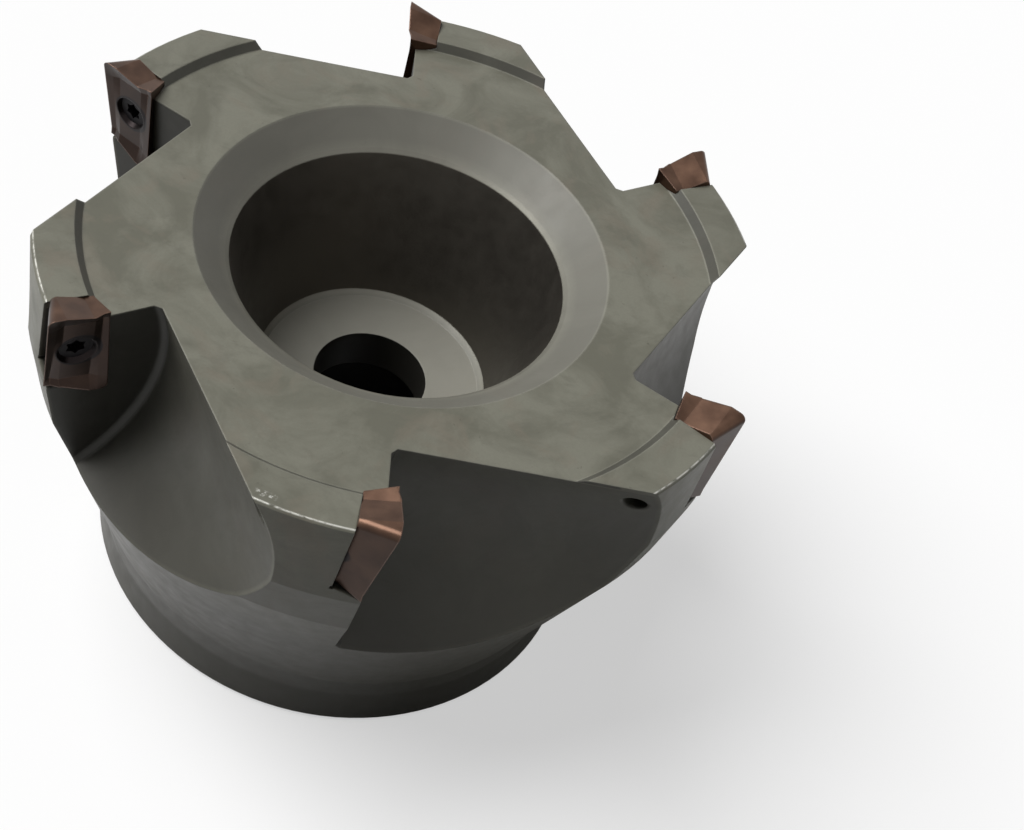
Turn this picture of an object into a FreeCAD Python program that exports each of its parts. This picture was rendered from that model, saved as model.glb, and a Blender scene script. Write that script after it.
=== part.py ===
import FreeCAD, Part
import os
import Sketcher

# A shell mill for facing: one steel body, with a clamped insert and its screw in every tooth.
# It stands on the rear face of its hub with the cutting face up. The origin is the centre of
# the rear face and +Z is the arbor axis. Tooth 1 points along +Y, its rake face looks towards
# -X, and the other teeth follow it anticlockwise. Lengths are millimetres, angles are degrees.

SIZES = [
    ("teeth", 6, "number of teeth"),
    ("cut_dia", 80, "cutting diameter over the insert noses"),
    ("cut_height", 50, "height of the insert noses over the rear face"),
    ("nose_rise", 1.5, "insert noses over the land of the teeth"),
    ("face_drop", 0.9, "inner face below the land"),
    ("ring_inset", 1, "insert noses proud of the tooth ring, all round"),
    ("ring_height", 13.9, "straight part of the tooth ring below the land"),
    ("land_chamfer", 0.3, "broken outer edge of the land"),
    ("land_width", 5.3, "land of the teeth, with the slope down to the inner face"),
    ("hub_dia", 58, "hub"),
    ("hub_height", 7.1, "hub below the cone that widens to the tooth ring"),
    ("hub_chamfer", 0.5, "rear edge of the hub"),
    ("hollow_height", 3.5, "slope of half the cone's lean that eases the hub into the cone"),
    ("shoulder_height", 6, "the same between the cone and the tooth ring"),
    ("rim_width", 16.6, "recess inside the tooth ring, all round"),
    ("mouth_width", 4.2, "chamfer at the mouth of the recess, across"),
    ("mouth_depth", 3.5, "chamfer at the mouth of the recess, downwards"),
    ("floor_inset", 5.15, "recess narrower at its floor than below its chamfer, all round"),
    ("floor_corner", 0.5, "broken corner round the floor of the recess"),
    ("web_thick", 5.2, "web between recess and arbor bore"),
    ("bolt_hole_dia", 13, "hole for the arbor screw"),
    ("bore_dia", 27, "arbor bore"),
    ("bore_depth", 21, "depth of the arbor bore"),
    ("bore_chamfer", 1, "entry of the arbor bore"),
    ("slot_width", 12.4, "drive slot across the rear face"),
    ("slot_depth", 7, "depth of the drive slot"),
    ("flute_lead", 2.75, "flute wall ahead of the axis plane, at the inner face"),
    ("flute_tilt", 3, "tilt of the flute wall to the axis"),
    ("flute_swing", 4.7, "turn of the flute away from square to the axis plane"),
    ("flute_rad", 20.4, "radius of the flute floor"),
    ("flute_reach", 7.7, "centre of the flute floor outside the tooth ring"),
    ("flute_drop", 7.2, "centre of the flute floor below the inner face"),
    ("flute_corner", 0.6, "broken corner between flute wall and floor"),
    ("seat_lead", 0.61, "insert seat ahead of the axis plane, at the screw"),
    ("seat_tilt", 5, "tilt of the insert seat to the axis"),
    ("pocket_gap", 0.03, "room between insert flanks and pocket walls"),
    ("pocket_lean", 6, "opening of the lower pocket wall towards the outside"),
    ("groove_depth", 0.2, "relief groove below the seat"),
    ("groove_width", 0.5, "relief groove along the lower pocket wall"),
    ("insert_length", 12.7, "insert, end to end"),
    ("insert_width", 7, "insert, side to side"),
    ("insert_thick", 3.95, "insert at its noses"),
    ("flank_relief", 17, "relief of the insert flanks"),
    ("nose_rad", 0.8, "nose corners of the insert"),
    ("wiper_length", 1.9, "flat beside each nose"),
    ("ramp_drop", 0.84, "end edge stepped back at the foot of its ramp"),
    ("ramp_end", 1.3, "foot of the ramp, from the middle of the insert"),
    ("heel_drop", 0.7, "low corner back from the end of the insert"),
    ("heel_lean", 0.2, "low corner in from the side of the insert"),
    ("heel_height", 3.05, "insert at its low corners"),
    ("rake_width", 1.1, "rake land along each cutting edge"),
    ("rake_angle", 13, "slope of the rake land"),
    ("valley_width", 0.8, "slope between rake land and middle plateau"),
    ("plateau_height", 3.2, "middle of the insert round its screw"),
    ("plateau_reach", 4.4, "half length of the middle plateau"),
    ("hole_dia", 2.8, "screw hole of the insert"),
    ("sink_dia", 4.1, "countersink of the insert at the plateau"),
    ("sink_angle", 30, "countersink and screw head, from the axis"),
    ("head_dia", 3.5, "screw head"),
    ("tapped_dia", 2.2, "tapped hole through the tooth"),
    ("thread_gap", 0.05, "room round the screw in its tapped hole"),
    ("screw_reach", 5, "screw below the seat"),
    ("lobes", 6, "lobes of the screw's socket"),
    ("lobe_rad", 1.12, "socket at its lobes, from the screw axis"),
    ("waist_rad", 0.78, "socket between its lobes, from the screw axis"),
    ("socket_depth", 1.1, "depth of the socket"),
]

# Places that follow from the sizes.
PLACES = [
    ("land_level", "Sizes.cut_height - Sizes.nose_rise"),
    ("face_level", "land_level - Sizes.face_drop"),
    ("ring_rad", "Sizes.cut_dia / 2 - Sizes.ring_inset"),
    ("ring_foot", "land_level - Sizes.ring_height"),
    ("hub_rad", "Sizes.hub_dia / 2"),
    ("cone_angle", "atan((ring_rad - hub_rad) / (ring_foot - Sizes.hub_height))"),
    ("hollow_foot", "Sizes.hub_height - Sizes.hollow_height / 2"),
    ("hollow_top", "Sizes.hub_height + Sizes.hollow_height / 2"),
    ("hollow_rad", "hub_rad + Sizes.hollow_height / 2 * tan(cone_angle)"),
    ("shoulder_foot", "ring_foot - Sizes.shoulder_height / 2"),
    ("shoulder_top", "ring_foot + Sizes.shoulder_height / 2"),
    ("shoulder_rad", "ring_rad - Sizes.shoulder_height / 2 * tan(cone_angle)"),
    ("mouth_rad", "ring_rad - Sizes.rim_width"),
    ("neck_rad", "mouth_rad - Sizes.mouth_width"),
    ("floor_rad", "neck_rad - Sizes.floor_inset"),
    ("neck_level", "face_level - Sizes.mouth_depth"),
    ("floor_level", "Sizes.bore_depth + Sizes.web_thick"),
    (
        "floor_side",
        "floor_rad + Sizes.floor_corner * Sizes.floor_inset / (neck_level - floor_level)",
    ),
    ("flute_level", "face_level - Sizes.flute_drop"),
    ("flute_axis_rad", "ring_rad + Sizes.flute_reach"),
    (
        "flute_wall",
        "Sizes.flute_drop * tan(Sizes.flute_tilt) - Sizes.flute_lead"
        " - Sizes.flute_rad * tan(Sizes.flute_swing)",
    ),
    ("half_length", "Sizes.insert_length / 2"),
    ("half_width", "Sizes.insert_width / 2"),
    ("flank_inset", "Sizes.insert_thick * tan(Sizes.flank_relief)"),
    (
        "nose_lead",
        "Sizes.seat_lead + half_length * sin(Sizes.seat_tilt)"
        " + Sizes.insert_thick * cos(Sizes.seat_tilt)",
    ),
    ("seat_radius", "sqrt((Sizes.cut_dia / 2) ^ 2 - nose_lead ^ 2) - half_width"),
    (
        "seat_level",
        "Sizes.cut_height - half_length * cos(Sizes.seat_tilt)"
        " + Sizes.insert_thick * sin(Sizes.seat_tilt)",
    ),
    ("edge_lean", "Sizes.heel_lean / (Sizes.insert_length - Sizes.heel_drop)"),
    (
        "edge_fall",
        "(Sizes.insert_thick - Sizes.heel_height) / (Sizes.insert_length - Sizes.heel_drop)",
    ),
    ("rake_slope", "tan(Sizes.rake_angle)"),
    ("corner_side", "flank_inset - half_width - Sizes.pocket_gap"),
    (
        "corner_end",
        "flank_inset - half_length - Sizes.pocket_gap"
        " + (half_width - Sizes.wiper_length + corner_side) * tan(Sizes.pocket_lean)",
    ),
    (
        "sink_foot",
        "Sizes.plateau_height - (Sizes.sink_dia - Sizes.hole_dia) / 2 / tan(Sizes.sink_angle)",
    ),
    ("sink_top", "Sizes.insert_thick + 1"),
    (
        "sink_top_rad",
        "Sizes.sink_dia / 2 + (sink_top - Sizes.plateau_height) * tan(Sizes.sink_angle)",
    ),
    ("shank_rad", "Sizes.tapped_dia / 2 - Sizes.thread_gap"),
    ("shank_top", "sink_foot - (Sizes.hole_dia / 2 - shank_rad) / tan(Sizes.sink_angle)"),
    ("head_top", "sink_foot + (Sizes.head_dia - Sizes.hole_dia) / 2 / tan(Sizes.sink_angle)"),
]

SEAT = (
    "placement(vector(-Sizes.seat_lead; Places.seat_radius; Places.seat_level);"
    " rotation(vector(0; -1; 0); 90 + Sizes.seat_tilt))"
)
TOLERANCE = 0.001

doc = FreeCAD.newDocument("ShellMill")


def fill_sheet(name, rows):
    """A spreadsheet with one named cell for each row."""
    sheet = doc.addObject("Spreadsheet::Sheet", name)
    for line, (alias, content) in enumerate(rows, start=1):
        sheet.set(f"A{line}", alias)
        sheet.set(f"B{line}", content)
        sheet.setAlias(f"B{line}", alias)
    doc.recompute()
    return sheet


def new_body(label):
    """An empty body with its own label."""
    body = doc.addObject("PartDesign::Body", label)
    body.Label = label
    return body


def origin_feature(body, role):
    """A plane or an axis of the body's own origin."""
    return next(part for part in body.Origin.OriginFeatures if part.Role == role)


def new_sketch(body, name, plane, offset=None):
    """A sketch on one of the body's origin planes, or set off from it."""
    sketch = body.newObject("Sketcher::SketchObject", name)
    sketch.AttachmentSupport = [(origin_feature(body, plane), "")]
    sketch.MapMode = "FlatFace"
    if offset:
        sketch.setExpression("AttachmentOffset", offset)
    return sketch


def bind(sketch, kind, size, *places):
    """A sketch dimension that follows the sheet."""
    index = sketch.addConstraint(Sketcher.Constraint(kind, *places, 1.0))
    sketch.setExpression(f"Constraints[{index}]", size)


def pin(sketch, geometry, point, across, along):
    """One point of the geometry at a bound place in the sketch."""
    bind(sketch, "DistanceX", across, -1, 1, geometry, point)
    bind(sketch, "DistanceY", along, -1, 1, geometry, point)


def spot(sketch, across, along):
    """The point that two formulas give with the present sizes."""
    return FreeCAD.Vector(
        float(sketch.evalExpression(across)), float(sketch.evalExpression(along)), 0
    )


def draw_polygon(sketch, corners):
    """A closed outline of straight sides through bound corners."""
    points = [spot(sketch, across, along) for across, along in corners]
    sides = [
        sketch.addGeometry(Part.LineSegment(point, following))
        for point, following in zip(points, points[1:] + points[:1])
    ]
    for side, following in zip(sides, sides[1:] + sides[:1]):
        sketch.addConstraint(Sketcher.Constraint("Coincident", side, 2, following, 1))
    for side, (across, along) in zip(sides, corners):
        pin(sketch, side, 1, across, along)


def draw_circle(sketch, diameter):
    """A bound circle about the sketch's origin."""
    circle = Part.Circle(FreeCAD.Vector(0, 0, 0), FreeCAD.Vector(0, 0, 1), 1)
    side = sketch.addGeometry(circle)
    sketch.addConstraint(Sketcher.Constraint("Coincident", side, 3, -1, 1))
    bind(sketch, "Diameter", diameter, side)


def revolve(body, kind, name, sketch, axis):
    """A full turn of the sketch about one of its own axes."""
    feature = body.newObject(f"PartDesign::{kind}", name)
    feature.Profile = sketch
    feature.ReferenceAxis = (sketch, [axis])
    feature.Angle = 360
    return feature


def extrude(body, kind, name, sketch, length, forward=False, taper=None):
    """A pad or pocket of bound length. Forward runs along the sketch's normal."""
    feature = body.newObject(f"PartDesign::{kind}", name)
    feature.Profile = sketch
    feature.setExpression("Length", length)
    feature.Reversed = forward if kind == "Pocket" else not forward
    if taper:
        feature.setExpression("TaperAngle", taper)
    return feature


def polar_pattern(body, name, originals, count):
    """Copies of the features about the body's own Z axis."""
    pattern = body.newObject("PartDesign::PolarPattern", name)
    pattern.Originals = originals
    pattern.Axis = (origin_feature(body, "Z_Axis"), [""])
    pattern.Angle = 360
    pattern.setExpression("Occurrences", count)
    body.Tip = pattern
    return pattern


def round_edges(body, name, base, edges, radius):
    """A fillet of bound radius on some edges of the feature before it."""
    fillet = body.newObject("PartDesign::Fillet", name)
    fillet.Base = (base, edges)
    fillet.setExpression("Radius", radius)
    body.Tip = fillet
    return fillet


def turned_blank(body):
    """The turned blank with its recess, web and bore."""
    profile = new_sketch(body, "BlankProfile", "XZ_Plane")
    draw_polygon(
        profile,
        [
            ("Sizes.bore_dia / 2 + Sizes.bore_chamfer", "0"),
            ("Places.hub_rad - Sizes.hub_chamfer", "0"),
            ("Places.hub_rad", "Sizes.hub_chamfer"),
            ("Places.hub_rad", "Places.hollow_foot"),
            ("Places.hollow_rad", "Places.hollow_top"),
            ("Places.shoulder_rad", "Places.shoulder_foot"),
            ("Places.ring_rad", "Places.shoulder_top"),
            ("Places.ring_rad", "Places.land_level - Sizes.land_chamfer"),
            ("Places.ring_rad - Sizes.land_chamfer", "Places.land_level"),
            ("Places.ring_rad - Sizes.land_width + Sizes.face_drop", "Places.land_level"),
            ("Places.ring_rad - Sizes.land_width", "Places.face_level"),
            ("Places.mouth_rad", "Places.face_level"),
            ("Places.neck_rad", "Places.neck_level"),
            ("Places.floor_side", "Places.floor_level + Sizes.floor_corner"),
            ("Places.floor_rad - Sizes.floor_corner", "Places.floor_level"),
            ("Sizes.bolt_hole_dia / 2", "Places.floor_level"),
            ("Sizes.bolt_hole_dia / 2", "Sizes.bore_depth"),
            ("Sizes.bore_dia / 2", "Sizes.bore_depth"),
            ("Sizes.bore_dia / 2", "Sizes.bore_chamfer"),
        ],
    )
    revolve(body, "Revolution", "Blank", profile, "V_Axis")


def drive_slot(body):
    """The slot across the rear face that the arbor's keys drive."""
    profile = new_sketch(body, "SlotProfile", "YZ_Plane")
    draw_polygon(
        profile,
        [
            ("-Sizes.slot_width / 2", "-Sizes.slot_depth"),
            ("Sizes.slot_width / 2", "-Sizes.slot_depth"),
            ("Sizes.slot_width / 2", "Sizes.slot_depth"),
            ("-Sizes.slot_width / 2", "Sizes.slot_depth"),
        ],
    )
    slot = extrude(body, "Pocket", "DriveSlot", profile, "2 * Places.ring_rad")
    slot.Midplane = True
    return slot


def flute(body):
    """The chip flute ahead of tooth 1, as a disc cutter leaves it.

    The cutter's axis is square to the flute wall, so the floor is a round hollow that runs
    ahead from the wall, past the back of the next tooth.
    """
    profile = new_sketch(
        body,
        "FluteProfile",
        "XY_Plane",
        "placement(vector(Places.flute_wall; Places.flute_axis_rad; Places.flute_level);"
        " rotation(vector(0; 0; 1); Sizes.flute_swing))"
        " * placement(vector(0; 0; 0); rotation(vector(0; -1; 0); Sizes.flute_tilt))",
    )
    draw_polygon(
        profile,
        [
            ("0", "0"),
            ("0", "Sizes.flute_corner - Sizes.flute_rad"),
            ("-Sizes.flute_corner", "-Sizes.flute_rad"),
            ("-Places.ring_rad", "-Sizes.flute_rad"),
            ("-Places.ring_rad", "0"),
        ],
    )
    return revolve(body, "Groove", "Flute", profile, "H_Axis")


def insert_pocket(body):
    """The pocket of tooth 1: seat, two walls that follow the insert's flanks, and a groove."""
    profile = new_sketch(body, "PocketProfile", "XY_Plane", SEAT)
    far_side = "(Sizes.insert_width - Places.corner_side)"
    far_end = "(Sizes.insert_length - Places.corner_end)"
    draw_polygon(
        profile,
        [
            ("Places.corner_end", "Places.corner_side"),
            ("Sizes.insert_length", f"Places.corner_side + {far_end} * Places.edge_lean"),
            ("Sizes.insert_length", "Sizes.insert_width"),
            (f"Places.corner_end + {far_side} * tan(Sizes.pocket_lean)", "Sizes.insert_width"),
        ],
    )
    pocket = extrude(
        body, "Pocket", "InsertPocket", profile, "Sizes.insert_thick", True, "Sizes.flank_relief"
    )
    below_seat = SEAT + " * placement(vector(0; 0; -Sizes.groove_depth); rotation(0; 0; 0))"
    profile = new_sketch(body, "GrooveProfile", "XY_Plane", below_seat)
    lean = f"{far_side} * tan(Sizes.pocket_lean)"
    inner_edge = "Places.corner_end + Sizes.groove_width / 2"
    outer_edge = "Places.corner_end - Sizes.groove_width / 2"
    draw_polygon(
        profile,
        [
            (outer_edge, "Places.corner_side"),
            (inner_edge, "Places.corner_side"),
            (f"{inner_edge} + {lean}", "Sizes.insert_width"),
            (f"{outer_edge} + {lean}", "Sizes.insert_width"),
        ],
    )
    groove = extrude(body, "Pocket", "EndRelief", profile, "2 * Sizes.groove_depth", True)
    return [pocket, groove]


def tapped_hole(body):
    """The screw hole of tooth 1, square to the seat and out through the tooth's back."""
    profile = new_sketch(body, "TappedProfile", "XY_Plane", SEAT)
    draw_circle(profile, "Sizes.tapped_dia")
    return extrude(body, "Pocket", "TappedHole", profile, "Places.ring_rad")


def make_cutter_body():
    """The steel body: turned, then fluted and pocketed tooth by tooth."""
    body = new_body("cutter_body")
    turned_blank(body)
    drive_slot(body)
    tooth = [flute(body)] + insert_pocket(body) + [tapped_hole(body)]
    doc.recompute()
    polar_pattern(body, "Teeth", tooth, "Sizes.teeth")
    doc.recompute()
    return body


def tooth_place(number):
    """Expression for the seat of one tooth."""
    turn = f"{number - 1} * 360 / Sizes.teeth"
    return f"placement(vector(0; 0; 0); rotation(vector(0; 0; 1); {turn})) * {SEAT}"


def rake_section(body, name, end, corners):
    """A section across the insert, at a bound distance from its middle."""
    offset = f"placement(vector(0; 0; {end}); rotation(0; 0; 0))"
    sketch = new_sketch(body, name, "YZ_Plane", offset)
    draw_polygon(sketch, corners)
    return sketch


def rake_form(body):
    """Everything above the chip former: falling edges, rake lands and the middle plateau."""
    outside = "(Places.half_width + 1)"
    valley = "(Places.half_width - Sizes.rake_width)"
    step = "(Places.half_width - Sizes.rake_width - Sizes.valley_width)"
    above = "Sizes.insert_thick + 2"
    high = "Sizes.insert_thick - (Places.half_length - Sizes.plateau_reach) * Places.edge_fall"
    low = "Sizes.insert_thick - (Places.half_length + Sizes.plateau_reach) * Places.edge_fall"
    rim = "Sizes.rake_width * Places.rake_slope"
    plateau = "Sizes.plateau_height"
    inner = [
        (outside, above),
        (outside, f"{high} + Places.rake_slope"),
        (valley, f"{high} - {rim}"),
        (step, plateau),
        ("-" + step, plateau),
        ("-" + valley, f"{low} - {rim}"),
        ("-" + outside, f"{low} + Places.rake_slope"),
        ("-" + outside, above),
    ]
    brow = "Sizes.insert_thick"
    ridge = "-Sizes.ramp_end"
    fall = (
        "((Sizes.insert_thick - Sizes.heel_height)"
        " / (Places.half_width - Sizes.heel_lean - Sizes.ramp_end))"
    )
    outer = [
        (outside, above),
        (outside, brow),
        (valley, brow),
        (step, brow),
        (ridge, brow),
        ("-" + valley, f"{brow} - ({valley} - Sizes.ramp_end) * {fall}"),
        ("-" + outside, f"{brow} - ({outside} - Sizes.ramp_end) * {fall}"),
        ("-" + outside, above),
    ]
    past_end = "Places.half_length + 0.1"
    sections = [
        rake_section(body, "RakeEndA", past_end, outer),
        rake_section(body, "RakeInnerA", "Sizes.plateau_reach", inner),
        rake_section(body, "RakeInnerB", "-Sizes.plateau_reach", turned_round(inner)),
        rake_section(body, "RakeEndB", f"-({past_end})", turned_round(outer)),
    ]
    loft = body.newObject("PartDesign::SubtractiveLoft", "RakeForm")
    loft.Profile = sections[0]
    loft.Sections = sections[1:]
    loft.Ruled = True
    return loft


def turned_round(corners):
    """The same section at the insert's other end, half a turn away."""
    return [(f"-({across})", along) for across, along in reversed(corners)]


def upright_corners(shape, across, along, level):
    """Names of the sloping corner edges that end at one of two opposite places."""
    names = []
    for number, edge in enumerate(shape.Edges, start=1):
        ends = sorted((vertex.Point for vertex in edge.Vertexes), key=lambda point: point.z)
        if len(ends) < 2 or ends[1].z - ends[0].z < level / 2:
            continue
        top = ends[1]
        for side in (1, -1):
            place = FreeCAD.Vector(side * across, side * along, level)
            if top.distanceToPoint(place) < TOLERANCE:
                names.append(f"Edge{number}")
    return names


def lean_flanks(body, blank):
    """All the upright sides drawn in below the top face, which keeps its outline."""
    top, flanks = [], []
    for number, face in enumerate(blank.Shape.Faces, start=1):
        upwards = face.normalAt(0, 0).z
        if upwards > 1 - TOLERANCE:
            top.append(f"Face{number}")
        elif abs(upwards) < TOLERANCE:
            flanks.append(f"Face{number}")
    draft = body.newObject("PartDesign::Draft", "Flanks")
    draft.Base = (blank, flanks)
    draft.NeutralPlane = (blank, top)
    draft.setExpression("Angle", "Sizes.flank_relief")
    draft.Reversed = True
    body.Tip = draft
    return draft


def make_insert(number):
    """One insert in its own frame: seat on XY, screw axis on Z, cutting edges along X."""
    body = new_body(f"insert_{number}")
    top = "placement(vector(0; 0; Sizes.insert_thick); rotation(0; 0; 0))"
    outline = new_sketch(body, "Outline", "XY_Plane", top)
    half = [
        ("Places.half_length", "Places.half_width"),
        ("Sizes.heel_drop - Places.half_length", "Places.half_width - Sizes.heel_lean"),
        ("Sizes.ramp_drop - Places.half_length", "Sizes.ramp_end"),
        ("-Places.half_length", "Sizes.wiper_length - Places.half_width"),
    ]
    draw_polygon(outline, half + [(f"-({across})", f"-({along})") for across, along in half])
    blank = extrude(body, "Pad", "Blank", outline, "Sizes.insert_thick")
    doc.recompute()
    blank = lean_flanks(body, blank)
    doc.recompute()
    noses = upright_corners(
        blank.Shape, places.half_length, places.half_width, sizes.insert_thick
    )
    round_edges(body, "Noses", blank, noses, "Sizes.nose_rad")
    doc.recompute()
    rake_form(body)
    bore = new_sketch(body, "HoleProfile", "XZ_Plane")
    draw_polygon(
        bore,
        [
            ("0", "-1"),
            ("Sizes.hole_dia / 2", "-1"),
            ("Sizes.hole_dia / 2", "Places.sink_foot"),
            ("Places.sink_top_rad", "Places.sink_top"),
            ("0", "Places.sink_top"),
        ],
    )
    revolve(body, "Groove", "ScrewHole", bore, "V_Axis")
    body.setExpression("Placement", tooth_place(number))
    return body


def make_screw(number):
    """One countersunk screw in the insert's frame."""
    body = new_body(f"insert_screw_{number}")
    profile = new_sketch(body, "ScrewProfile", "XZ_Plane")
    draw_polygon(
        profile,
        [
            ("0", "-Sizes.screw_reach"),
            ("Places.shank_rad", "-Sizes.screw_reach"),
            ("Places.shank_rad", "Places.shank_top"),
            ("Sizes.head_dia / 2", "Places.head_top"),
            ("0", "Places.head_top"),
        ],
    )
    revolve(body, "Revolution", "Blank", profile, "V_Axis")
    top = "placement(vector(0; 0; Places.head_top); rotation(0; 0; 0))"
    socket = new_sketch(body, "SocketProfile", "XY_Plane", top)
    corners = []
    for i in range(2 * int(sizes.lobes)):
        rad = "Sizes.waist_rad" if i % 2 else "Sizes.lobe_rad"
        turn = f"{i} * 180 / Sizes.lobes"
        corners.append((f"{rad} * cos({turn})", f"{rad} * sin({turn})"))
    draw_polygon(socket, corners)
    extrude(body, "Pocket", "Socket", socket, "Sizes.socket_depth")
    body.setExpression("Placement", tooth_place(number))
    return body


def check(bodies):
    """Stop if any object failed or any sub-part has no sound shape."""
    for thing in doc.Objects:
        if "Invalid" in thing.State or "Error" in thing.State:
            raise RuntimeError(f"{thing.Label} failed: {thing.State}")
    for body in bodies:
        shape = body.Shape
        if shape.isNull() or not shape.isValid() or len(shape.Solids) != 1:
            raise RuntimeError(f"{body.Label} is not one sound solid")


sizes = fill_sheet("Sizes", [(alias, str(value)) for alias, value, note in SIZES])
places = fill_sheet("Places", [(alias, "=" + formula) for alias, formula in PLACES])

parts = [make_cutter_body()]
for tooth_number in range(1, int(sizes.teeth) + 1):
    parts.append(make_insert(tooth_number))
    parts.append(make_screw(tooth_number))
doc.recompute()
check(parts)

os.makedirs("parts", exist_ok=True)
for body in parts:
    body.Shape.exportStep(f"parts/{body.Label}.step")
    print(f"{body.Label}: {body.Shape.Volume:.2f} mm3")
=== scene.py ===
import math

import bpy
from mathutils import Matrix, Vector


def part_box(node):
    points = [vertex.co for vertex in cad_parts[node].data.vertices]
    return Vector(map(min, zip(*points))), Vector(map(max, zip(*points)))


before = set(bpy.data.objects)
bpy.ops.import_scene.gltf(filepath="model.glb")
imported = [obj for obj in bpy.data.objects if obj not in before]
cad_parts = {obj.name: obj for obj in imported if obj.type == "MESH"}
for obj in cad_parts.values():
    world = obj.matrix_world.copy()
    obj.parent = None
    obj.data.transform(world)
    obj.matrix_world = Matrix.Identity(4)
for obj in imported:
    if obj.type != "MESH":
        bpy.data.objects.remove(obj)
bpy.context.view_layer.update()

# The looks of a shell mill for facing: its camera, light, floor and materials. The cutter
# stands on its hub with its cutting face up. The scene is built in metres, in the row frame,
# and the materials measure in millimetres: radius from the axis, level above the rear face.

MM = 0.001
TEETH = 6
WHITE = (1, 1, 1, 1)

_, BODY_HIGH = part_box("cutter_body")
STEP_HEIGHT = 0.9
LAND_LEVEL = BODY_HIGH.z / MM
FACE_LEVEL = LAND_LEVEL - STEP_HEIGHT
SCREW_LOW, SCREW_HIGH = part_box("insert_screw_1")
SCREW_RAD = (SCREW_LOW.y + SCREW_HIGH.y) / 2 / MM
SCREW_LEVEL = (SCREW_LOW.z + SCREW_HIGH.z) / 2 / MM

# The photo's camera: it looks at a point of the inner face, and the photo is an off-centre
# crop of a larger picture, so the lens is shifted.
PHOTO_WIDTH = 1024
PHOTO_HEIGHT = 830
FOCAL_PIXELS = 1813.5
AXIS_PIXEL = (369.0, 259.9)
SENSOR_WIDTH = 36
CAMERA_TARGET = Vector((-3.21, -3.43, 47.6)) * MM
CAMERA_DISTANCE = 190 * MM
CAMERA_NEAR = 10 * MM
CAMERA_ELEVATION = math.radians(44.45)
CAMERA_AZIMUTH = math.radians(-0.57)
CAMERA_ROLL = math.radians(13.51)

# The floor sends little light back up. Beside the hub it glows for the camera alone, so it
# looks pale and still shows the cutter's shadow.
FLOOR_SIZE = 4.0
FLOOR_BOUNCE = 0.08
FLOOR_GLOW = 0.55
GLOW_RADIUS = (26.0, 29.0)

# A large soft light from the left and a little from behind, in a dim white room.
KEY_DIRECTION = Vector((-0.56, 0.10, 0.82))
KEY_SPREAD = math.radians(45)
KEY_STRENGTH = 3.4
AMBIENT = 0.08

# The body's outer skin: a cone from the hub up, and the steeper shoulder above it.
CONE_LEVELS = (7.1, 34.6)
CONE_RADII = (29.0, 39.0)
SHOULDER_LEVELS = (31.6, 37.6)
SHOULDER_RADII = (37.91, 39.0)

# Bands on the body: lower bound, upper bound, and how soft both are. The step rises from the
# face to the lands, the mouth is the recess's chamfer, the web is the recess's floor, and the
# hollow lies where the cone leaves the hub.
STEP_RADII = (30.0, 36.5, 0.1)
STEP_LEVELS = (FACE_LEVEL + 0.08, LAND_LEVEL - 0.06, 0.03)
MOUTH_RADII = (18.22, 22.37, 0.03)
MOUTH_LEVELS = (44.12, FACE_LEVEL - 0.03, 0.03)
WEB_LEVELS = (26.1, 26.85, 0.05)
HOLLOW_LEVELS = (4.6, 10.0, 0.3)

# Fades on the body: the radius, level or depth where a look starts, and where it is full.
SKIN_DEPTH = (0.15, 0.45)
MILLED_RADIUS = (18.6, 19.6)
MILLED_TOP = (FACE_LEVEL - 0.1, FACE_LEVEL - 0.2)
MILLED_FOOT = (6.0, 13.0)
RECESS_RADIUS = (18.7, 18.6)
WALL_LEVEL = (26.5, 26.8)
HOLE_LEVEL = (26.5, 26.2)
SHANK_LEVEL = (46.0, 22.0)
FACED_LEVEL = (38.0, 40.0)
RIM_RADIUS = (38.65, 38.75)
RIM_LEVEL = (LAND_LEVEL - 0.16, LAND_LEVEL - 0.06)

# Fades of direction: how far up a surface faces as it gets steep, how far ahead as it turns
# into a rake wall, and how like the rounded normal its own one is as it comes to an edge.
STEEP = (0.9, 0.3)
LEADING = (0.1, 0.6)
EDGE_LIKENESS = (0.985, 0.92)

# A bright scuff on the land of tooth 4.
SCUFF_PLACE = (-7.7, -37.1, LAND_LEVEL)
SCUFF_DISTANCE = (1.2, 0.6)
SCUFF_RADII = (37.6, 38.2, 0.1)

# How far edges look rounded off.
BEVEL_SAMPLES = 4
EDGE_ROUNDING = 0.22 * MM
FLUTE_ROUNDING = 0.60 * MM
HOLLOW_ROUNDING = 1.10 * MM
COAT_ROUNDING = 0.18 * MM

# Noise: features in a millimetre, detail, roughness and distortion.
CLOUDS = (0.11, 5.0, 0.62, 0.8)
TINTS = (0.16, 4.0, 0.60, 1.0)
SMEARS = (0.36, 5.0, 0.65, 0.8)
SPECKS = (1.1, 3.0, 0.70, 0.0)
GRAIN = (4.0, 2.0, 0.60, 0.0)
WEAR = (0.9, 4.0, 0.70, 0.0)
SCRATCHES = (2.5, 4.0, 0.70, 0.0)
RINGS = (5.0, 3.0, 0.70, 0.0)
GRIT = (5.0, 4.0, 0.55, 0.0)
SHEEN = (0.5, 3.0, 0.55, 0.0)
COAT_CLOUDS = (0.35, 3.0, 0.50, 0.0)
COAT_GRAIN = (6.0, 3.0, 0.60, 0.0)
OXIDE_WEAR = (1.5, 4.0, 0.60, 0.0)

# The part of a noise's span over which a look comes in.
MIDDLE_SPAN = (0.3, 0.7)
WEAR_SPAN = (0.35, 0.50)
SCRATCH_SPAN = (0.50, 0.58)
COAT_CLOUD_SPAN = (0.35, 0.65)
COAT_GRAIN_SPAN = (0.55, 0.75)
OXIDE_SPAN = (0.55, 0.75)

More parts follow.
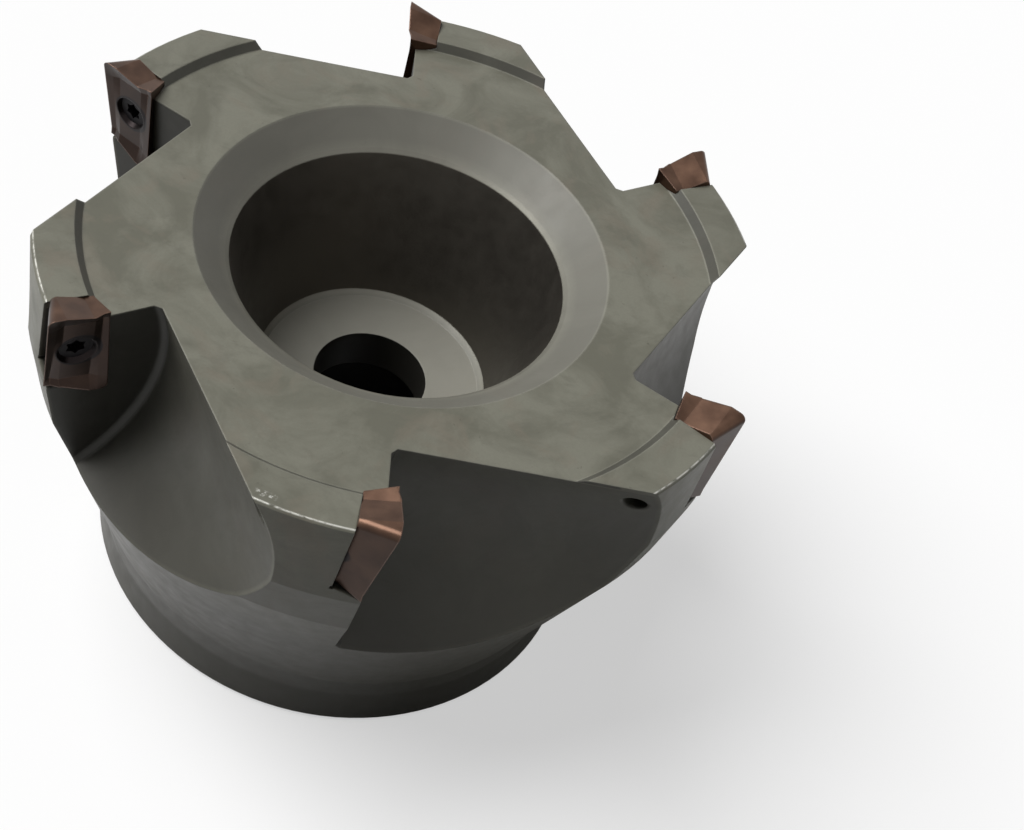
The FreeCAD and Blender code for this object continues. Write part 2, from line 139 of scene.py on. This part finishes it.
STEEL_DEEP = (0.122, 0.120, 0.092, 1)
STEEL_PALE = (0.182, 0.180, 0.143, 1)
STEEL_BROWN = (0.178, 0.155, 0.120, 1)
STEEL_SMEAR = (0.105, 0.102, 0.080, 1)
STEEL_SPECK = (0.070, 0.064, 0.050, 1)
# Painted shade on the lower body, growing towards the bottom under the tooth ring.
STEEL_SHANK_SHADE = (0.036, 0.034, 0.028, 1)
# Painted shade in the flutes.
STEEL_FLUTE_SHADE = (0.040, 0.038, 0.032, 1)
# Painted light on the mouth chamfer and on the web, the recess floor.
STEEL_PAINTED_LIGHT = (0.255, 0.248, 0.216, 1)
# Painted shade on the recess wall, over its turned finish.
STEEL_TURNED_AND_SHADE = (0.090, 0.082, 0.070, 1)
# Painted shade on the rake walls and in the screw hole; the step is darker with it too.
STEEL_DARK = (0.020, 0.019, 0.016, 1)
STEEL_EDGE = (0.330, 0.325, 0.290, 1)
STEEL_WORN = (0.560, 0.555, 0.510, 1)
COPPER_PALE = (0.104, 0.058, 0.038, 1)
COPPER_DEEP = (0.058, 0.031, 0.020, 1)
# Painted shade on the inserts' faces that look ahead or outward.
COPPER_PAINTED_SHADE = (0.012, 0.008, 0.007, 1)
# Painted highlights on the inserts' edges.
COPPER_PAINTED_HIGHLIGHT = (0.210, 0.135, 0.105, 1)
# Black oxide of the screws, also painted shade in the inserts' screw holes.
OXIDE_BLACK_AND_SHADE = (0.006, 0.005, 0.006, 1)
OXIDE_WORN = (0.020, 0.017, 0.016, 1)

# What lies over STEEL_DEEP, in this order: noise, its stretch, the span of it over which the
# colour comes in, the colour's greatest share, and the colour.
STEEL_LAYERS = (
    (CLOUDS, (1, 1, 1), (0.38, 0.60), 1.0, STEEL_PALE),
    (TINTS, (1, 1, 0.6), (0.52, 0.70), 0.55, STEEL_BROWN),
    (SMEARS, (0.6, 1, 0.8), (0.54, 0.72), 0.45, STEEL_SMEAR),
    (SPECKS, (1, 1, 1), (0.68, 0.76), 0.5, STEEL_SPECK),
    (GRAIN, (1, 1, 1), MIDDLE_SPAN, 0.16, STEEL_SMEAR),
)

# What each zone of the body adds to that, in this order: zone, share and colour. The colours
# are painted shade, except painted light on the mouth and the web, and a darker step.
ZONE_COLOURS = (
    # Painted shade on the lower body.
    ("shank", 0.85, STEEL_SHANK_SHADE),
    # Painted shade in the flutes.
    ("flute", 0.55, STEEL_FLUTE_SHADE),
    # Painted shade on the rake walls.
    ("rake wall", 0.60, STEEL_DARK),
    ("step", 0.70, STEEL_DARK),
    # Painted light on the mouth and the web.
    ("mouth", 0.45, STEEL_PAINTED_LIGHT),
    ("web", 0.75, STEEL_PAINTED_LIGHT),
    # Painted shade on the recess wall.
    ("recess wall", 1.0, STEEL_TURNED_AND_SHADE),
    # Painted shade in the screw hole.
    ("screw hole", 1.0, STEEL_DARK),
)

# The steel's surface. Its metallic share is low where it is satin, and high where it is turned
# or worn bright.
EDGE_SHARE = 0.28
GRIT_HEIGHT = 0.5
STEEL_BUMP = {"Strength": 0.35, "Distance": 0.02 * MM}
STEEL_METALLIC = (0.05, 0.85)
STEEL_ROUGHNESS = (0.38, 0.47)
STEEL_SPECULAR = 0.28

# The inserts' coating. It has painted shade on faces that look ahead or outward, and in the
# screw hole, whose fade is the distance from the screw's middle.
COAT_AHEAD = (0.35, 0.75)
COAT_AHEAD_SHADE = 0.75
COAT_OUTWARD = (0.6, 0.9)
COAT_OUTWARD_SHADE = 0.62
COAT_HOLE = (2.45, 2.35)
COAT_HOLE_SHADE = 0.9
# Share of the painted highlights on the inserts' edges.
COAT_HIGHLIGHT_SHARE = 0.55
COAT_GRAIN_SHARE = 0.2
COAT_BUMP = {"Strength": 0.2, "Distance": 0.01 * MM}
COAT_METALLIC = 0.85
COAT_ROUGHNESS = (0.28, 0.36)

OXIDE_METALLIC = 0.2
OXIDE_ROUGHNESS = (0.40, 0.55)
OXIDE_SPECULAR = 0.15


class Shader:
    """A node tree for a material or a world, with one short call for each node."""

    def __init__(self, tree):
        self.tree = tree
        tree.nodes.clear()

    def node(self, kind, settings=None, **inputs):
        """A node whose inputs are values or other nodes' outputs."""
        made = self.tree.nodes.new("ShaderNode" + kind)
        for name, value in (settings or {}).items():
            setattr(made, name, value)
        for name, value in inputs.items():
            socket = self.socket(made, name)
            if isinstance(value, bpy.types.NodeSocket):
                self.tree.links.new(value, socket)
            else:
                socket.default_value = value
        return made

    @staticmethod
    def socket(made, name):
        """An input by its name, or by its number for a name such as in_1."""
        if name.startswith("in_"):
            return made.inputs[int(name[3:])]
        return made.inputs[name.replace("_", " ")]

    def math(self, operation, first, second):
        """One sum on two values."""
        return self.node("Math", {"operation": operation}, in_0=first, in_1=second).outputs[0]

    def ramp(self, value, low, high, bottom=0.0, top=1.0):
        """Value, taken evenly from low..high to bottom..top and held there."""
        bounds = {"From_Min": low, "From_Max": high, "To_Min": bottom, "To_Max": top}
        return self.node("MapRange", {"clamp": True}, Value=value, **bounds).outputs["Result"]

    def choose(self, mask, off, on):
        """The value off where a mask is 0, and on where it is 1."""
        return self.ramp(mask, 0.0, 1.0, off, on)

    def opposite(self, mask):
        """1 where a mask is 0, and 0 where it is 1."""
        return self.math("SUBTRACT", 1.0, mask)

    def both(self, *masks):
        """The product of masks or shares."""
        product = masks[0]
        for mask in masks[1:]:
            product = self.math("MULTIPLY", product, mask)
        return product

    def between(self, value, low, high, soft):
        """1 where a value lies between two bounds, with soft ends."""
        rise = self.ramp(value, low - soft, low + soft)
        fall = self.ramp(value, high + soft, high - soft)
        return self.both(rise, fall)

    def blend(self, share, first, second):
        """A colour between two."""
        made = self.node("Mix", {"data_type": "RGBA"}, in_0=share, in_6=first, in_7=second)
        return made.outputs[2]

    def place(self, stretch=(1, 1, 1)):
        """The shaded point in millimetres, in the row frame."""
        coords = self.node("TexCoord").outputs["Object"]
        scale = [share / MM for share in stretch]
        return self.node("Mapping", Vector=coords, Scale=scale).outputs[0]

    def normal(self):
        """The shaded point's normal, in the row frame."""
        return self.node("TexCoord").outputs["Normal"]

    def noise(self, place, kind):
        """Noise from 0 to 1 at a place in millimetres."""
        names = ("Scale", "Detail", "Roughness", "Distortion")
        return self.node("TexNoise", Vector=place, **dict(zip(names, kind))).outputs["Fac"]

    def parts(self, vector):
        """A vector's three numbers."""
        return self.node("SeparateXYZ", Vector=vector).outputs

    def vector(self, x=0.0, y=0.0, z=0.0):
        """A vector of three numbers."""
        return self.node("CombineXYZ", X=x, Y=y, Z=z).outputs[0]

    def measure(self, operation, *vectors):
        """A number that one vector or two give, such as a length or a dot product."""
        inputs = {f"in_{index}": vector for index, vector in enumerate(vectors)}
        return self.node("VectorMath", {"operation": operation}, **inputs).outputs["Value"]

    def radius(self, place):
        """A point's distance from the cutter's axis."""
        x, y, _ = self.parts(place)
        return self.measure("LENGTH", self.vector(x, y))

    def rounded(self, rounding):
        """A normal that rounds edges off, and how like it the surface's own normal is."""
        normal = self.node("Bevel", {"samples": BEVEL_SAMPLES}, Radius=rounding).outputs[0]
        flat = self.node("NewGeometry").outputs["Normal"]
        return normal, self.measure("DOT_PRODUCT", normal, flat)

    def bumped(self, normal, height, bump):
        """A normal with fine unevenness."""
        return self.node("Bump", Normal=normal, Height=height, **bump).outputs[0]

    def principled(self, specular=None, **inputs):
        """The surface that the material shows."""
        surface = self.node("BsdfPrincipled", **inputs)
        if specular is not None:
            surface.inputs["Specular IOR Level"].default_value = specular
        self.finish(surface)

    def finish(self, surface):
        """The last node of a material."""
        self.node("OutputMaterial", Surface=surface.outputs[0])


def new_material(name):
    """An empty material and its shader."""
    material = bpy.data.materials.new(name)
    material.use_nodes = True
    return material, Shader(material.node_tree)


def make_camera():
    """The photo's camera."""
    data = bpy.data.cameras.new("photo_camera")
    camera = bpy.data.objects.new("photo_camera", data)
    bpy.context.scene.collection.objects.link(camera)
    reach = math.cos(CAMERA_ELEVATION)
    back = Vector(
        (
            reach * math.sin(CAMERA_AZIMUTH),
            -reach * math.cos(CAMERA_AZIMUTH),
            math.sin(CAMERA_ELEVATION),
        )
    )
    level = (-back).cross(Vector((0, 0, 1))).normalized()
    upright = level.cross(-back)
    right = math.cos(CAMERA_ROLL) * level + math.sin(CAMERA_ROLL) * upright
    up = math.cos(CAMERA_ROLL) * upright - math.sin(CAMERA_ROLL) * level
    place = Matrix((right, up, back)).transposed().to_4x4()
    place.translation = CAMERA_TARGET + CAMERA_DISTANCE * back
    camera.matrix_world = place
    data.sensor_width = SENSOR_WIDTH
    data.lens = FOCAL_PIXELS * SENSOR_WIDTH / PHOTO_WIDTH
    data.shift_x = (PHOTO_WIDTH / 2 - AXIS_PIXEL[0]) / PHOTO_WIDTH
    data.shift_y = (AXIS_PIXEL[1] - PHOTO_HEIGHT / 2) / PHOTO_WIDTH
    data.clip_start = CAMERA_NEAR
    data.clip_end = 2 * FLOOR_SIZE
    bpy.context.scene.camera = camera


def seen_directly(shader):
    """1 for rays that show a surface as it looks, 0 for rays that only carry its light."""
    path = shader.node("LightPath").outputs
    shown = shader.math("MAXIMUM", path["Is Camera Ray"], path["Is Glossy Ray"])
    return shader.math("MAXIMUM", shown, path["Is Transmission Ray"])


def light_world():
    """White to look at, and dim as a source of light."""
    world = bpy.data.worlds.new("studio")
    bpy.context.scene.world = world
    world.use_nodes = True
    shader = Shader(world.node_tree)
    strength = shader.choose(seen_directly(shader), AMBIENT, 1.0)
    glow = shader.node("Background", Color=WHITE, Strength=strength)
    shader.node("OutputWorld", Surface=glow.outputs[0])


def make_key_light():
    """The large soft light."""
    data = bpy.data.lights.new("key", "SUN")
    data.energy = KEY_STRENGTH
    data.angle = KEY_SPREAD
    light = bpy.data.objects.new("key", data)
    light.rotation_mode = "QUATERNION"
    light.rotation_quaternion = KEY_DIRECTION.to_track_quat("Z", "Y")
    bpy.context.scene.collection.objects.link(light)


def floor_material():
    """Pale to look at and dark as a source of light, with a glow beside the hub."""
    material, shader = new_material("floor")
    bounce = (FLOOR_BOUNCE, FLOOR_BOUNCE, FLOOR_BOUNCE, 1)
    colour = shader.blend(seen_directly(shader), bounce, WHITE)
    matt = shader.node("BsdfDiffuse", Color=colour).outputs[0]
    glow = shader.node("Emission", Color=WHITE, Strength=1.0).outputs[0]
    beside_hub = shader.ramp(shader.radius(shader.place()), *GLOW_RADIUS)
    seen = shader.node("LightPath").outputs["Is Camera Ray"]
    share = shader.both(seen, beside_hub, FLOOR_GLOW)
    shader.finish(shader.node("MixShader", in_0=share, in_1=matt, in_2=glow))
    return material


def make_floor():
    """The floor that the hub stands on."""
    half = FLOOR_SIZE / 2
    mesh = bpy.data.meshes.new("floor")
    corners = [(-half, -half, 0), (half, -half, 0), (half, half, 0), (-half, half, 0)]
    mesh.from_pydata(corners, [], [(0, 1, 2, 3)])
    mesh.materials.append(floor_material())
    floor = bpy.data.objects.new("floor", mesh)
    bpy.context.scene.collection.objects.link(floor)


def facing_ahead(shader, place):
    """How far a surface faces the way that the teeth cut: 1 on a rake face, -1 on a back."""
    x, y, _ = shader.parts(place)
    ahead = shader.vector(shader.math("MULTIPLY", y, -1.0), x)
    reach = shader.measure("DOT_PRODUCT", shader.normal(), ahead)
    return shader.math("DIVIDE", reach, shader.radius(place))


def facing_outward(shader, place):
    """How far a surface faces away from the axis."""
    x, y, _ = shader.parts(place)
    reach = shader.measure("DOT_PRODUCT", shader.normal(), shader.vector(x, y))
    return shader.math("DIVIDE", reach, shader.radius(place))


def milled_mask(shader, radius, level):
    """1 in the flutes: below the outer skin, beside the recess and under the cutting face."""
    cone = shader.ramp(level, *CONE_LEVELS, *CONE_RADII)
    shoulder = shader.ramp(level, *SHOULDER_LEVELS, *SHOULDER_RADII)
    skin = shader.math("MINIMUM", cone, shoulder)
    return shader.both(
        shader.ramp(shader.math("SUBTRACT", skin, radius), *SKIN_DEPTH),
        shader.ramp(radius, *MILLED_RADIUS),
        shader.ramp(level, *MILLED_TOP),
        shader.ramp(level, *MILLED_FOOT),
    )


def body_zones(shader, place, radius, level):
    """The body's surfaces, each as a mask under its name."""
    steep = shader.ramp(shader.parts(shader.normal())["Z"], *STEEP)
    leading = shader.ramp(facing_ahead(shader, place), *LEADING)
    flute = milled_mask(shader, radius, level)
    recess = shader.ramp(radius, *RECESS_RADIUS)
    return {
        "flute": flute,
        "rake wall": shader.both(flute, leading),
        "recess wall": shader.both(recess, steep, shader.ramp(level, *WALL_LEVEL)),
        "screw hole": shader.both(recess, steep, shader.ramp(level, *HOLE_LEVEL)),
        "web": shader.both(recess, shader.between(level, *WEB_LEVELS), shader.opposite(steep)),
        "mouth": shader.both(
            shader.between(radius, *MOUTH_RADII), shader.between(level, *MOUTH_LEVELS)
        ),
        "step": shader.both(
            shader.between(radius, *STEP_RADII), shader.between(level, *STEP_LEVELS)
        ),
        "shank": shader.both(shader.ramp(level, *SHANK_LEVEL), shader.opposite(recess)),
        "hollow": shader.between(level, *HOLLOW_LEVELS),
        "faced": shader.math("MAXIMUM", recess, shader.ramp(level, *FACED_LEVEL)),
    }


def worn_rim(shader, place, radius, level):
    """The bright outer edge of the lands, in patches."""
    return shader.both(
        shader.ramp(radius, *RIM_RADIUS),
        shader.ramp(level, *RIM_LEVEL),
        shader.ramp(shader.noise(place, WEAR), *WEAR_SPAN),
    )


def scuff(shader, place, radius):
    """A few bright scratches close together."""
    return shader.both(
        shader.ramp(shader.measure("DISTANCE", place, SCUFF_PLACE), *SCUFF_DISTANCE),
        shader.between(radius, *SCUFF_RADII),
        shader.ramp(shader.noise(place, SCRATCHES), *SCRATCH_SPAN),
    )


def steel_colour(shader, zones):
    """Olive grey with pale and brown clouds, smears of handling and a few dark specks, then
    painted shade and painted light on zones of the body.
    """
    colour = STEEL_DEEP
    for kind, stretch, span, share, tone in STEEL_LAYERS:
        noise = shader.noise(shader.place(stretch), kind)
        colour = shader.blend(shader.ramp(noise, *span, 0.0, share), colour, tone)
    for zone, share, tone in ZONE_COLOURS:
        colour = shader.blend(shader.both(zones[zone], share), colour, tone)
    return colour


def tool_marks(shader, place, radius, level, zones):
    """The height of turning rings on the faced surfaces, and of fine grit all over."""
    turned = shader.noise(shader.vector(shader.math("ADD", radius, level)), RINGS)
    rings = shader.both(turned, zones["faced"], shader.opposite(zones["flute"]))
    grit = shader.both(shader.noise(place, GRIT), GRIT_HEIGHT)
    return shader.math("ADD", rings, grit)


def steel_material():
    """Satin grey steel: milled flutes, a smooth turned recess and worn edges, with painted
    shade in the flutes, on the lower body and on the recess wall.
    """
    material, shader = new_material("grey_steel")
    place = shader.place()
    radius = shader.radius(place)
    level = shader.parts(place)["Z"]
    zones = body_zones(shader, place, radius, level)
    rim = worn_rim(shader, place, radius, level)

    rounding = shader.choose(zones["flute"], EDGE_ROUNDING, FLUTE_ROUNDING)
    rounding = shader.choose(zones["hollow"], rounding, HOLLOW_ROUNDING)
    rounded, likeness = shader.rounded(rounding)
    edge = shader.both(
        shader.ramp(likeness, *EDGE_LIKENESS, 0.0, EDGE_SHARE),
        shader.opposite(zones["flute"]),
        shader.opposite(zones["hollow"]),
    )

    colour = steel_colour(shader, zones)
    colour = shader.blend(edge, colour, STEEL_EDGE)
    colour = shader.blend(rim, colour, STEEL_WORN)
    colour = shader.blend(scuff(shader, place, radius), colour, STEEL_WORN)

    marks = tool_marks(shader, place, radius, level, zones)
    shine = shader.math("MAXIMUM", zones["recess wall"], rim)
    shader.principled(
        specular=STEEL_SPECULAR,
        Base_Color=colour,
        Metallic=shader.choose(shine, *STEEL_METALLIC),
        Roughness=shader.ramp(shader.noise(place, SHEEN), *MIDDLE_SPAN, *STEEL_ROUGHNESS),
        Normal=shader.bumped(rounded, marks, STEEL_BUMP),
    )
    return material


def coat_hole(shader, place):
    """1 in the screw hole of each insert."""
    out = shader.math("SUBTRACT", shader.radius(place), SCREW_RAD)
    rise = shader.math("SUBTRACT", shader.parts(place)["Z"], SCREW_LEVEL)
    return shader.ramp(shader.measure("LENGTH", shader.vector(out, rise)), *COAT_HOLE)


def insert_material():
    """Glossy copper-brown coating on ground carbide, with painted shade on faces that look
    ahead or outward and in the screw holes, and painted highlights along the edges.
    """
    material, shader = new_material("copper_coating")
    place = shader.place()
    clouds = shader.noise(place, COAT_CLOUDS)
    grain = shader.noise(place, COAT_GRAIN)
    ahead = shader.ramp(facing_ahead(shader, place), *COAT_AHEAD)
    outward = shader.ramp(facing_outward(shader, place), *COAT_OUTWARD)
    rounded, likeness = shader.rounded(COAT_ROUNDING)
    edge = shader.ramp(likeness, *EDGE_LIKENESS)
    fine = shader.ramp(grain, *COAT_GRAIN_SPAN)

    colour = shader.blend(shader.ramp(clouds, *COAT_CLOUD_SPAN), COPPER_DEEP, COPPER_PALE)
    for mask, share, tone in (
        # Painted shade on faces that look ahead or outward.
        (outward, COAT_OUTWARD_SHADE, COPPER_PAINTED_SHADE),
        (ahead, COAT_AHEAD_SHADE, COPPER_PAINTED_SHADE),
        # Painted highlights along the edges.
        (edge, COAT_HIGHLIGHT_SHARE, COPPER_PAINTED_HIGHLIGHT),
        (fine, COAT_GRAIN_SHARE, COPPER_DEEP),
        # Painted shade in the screw hole.
        (coat_hole(shader, place), COAT_HOLE_SHADE, OXIDE_BLACK_AND_SHADE),
    ):
        colour = shader.blend(shader.both(mask, share), colour, tone)

    shader.principled(
        Base_Color=colour,
        Metallic=COAT_METALLIC,
        Roughness=shader.ramp(clouds, *MIDDLE_SPAN, *COAT_ROUGHNESS),
        Normal=shader.bumped(rounded, grain, COAT_BUMP),
    )
    return material


def screw_material():
    """Black oxide, a little worn."""
    material, shader = new_material("black_oxide")
    wear = shader.noise(shader.place(), OXIDE_WEAR)
    shader.principled(
        specular=OXIDE_SPECULAR,
        Base_Color=shader.blend(shader.ramp(wear, *OXIDE_SPAN), OXIDE_BLACK_AND_SHADE, OXIDE_WORN),
        Metallic=OXIDE_METALLIC,
        Roughness=shader.ramp(wear, *MIDDLE_SPAN, *OXIDE_ROUGHNESS),
    )
    return material


def dress(node, material):
    """A CAD node's own finish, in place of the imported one."""
    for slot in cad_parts[node].material_slots:
        slot.material = material


make_camera()
light_world()
make_key_light()
make_floor()

dress("cutter_body", steel_material())
coating = insert_material()
black = screw_material()
for tooth in range(1, TEETH + 1):
    dress(f"insert_{tooth}", coating)
    dress(f"insert_screw_{tooth}", black)

bpy.context.scene.view_settings.view_transform = "Standard"
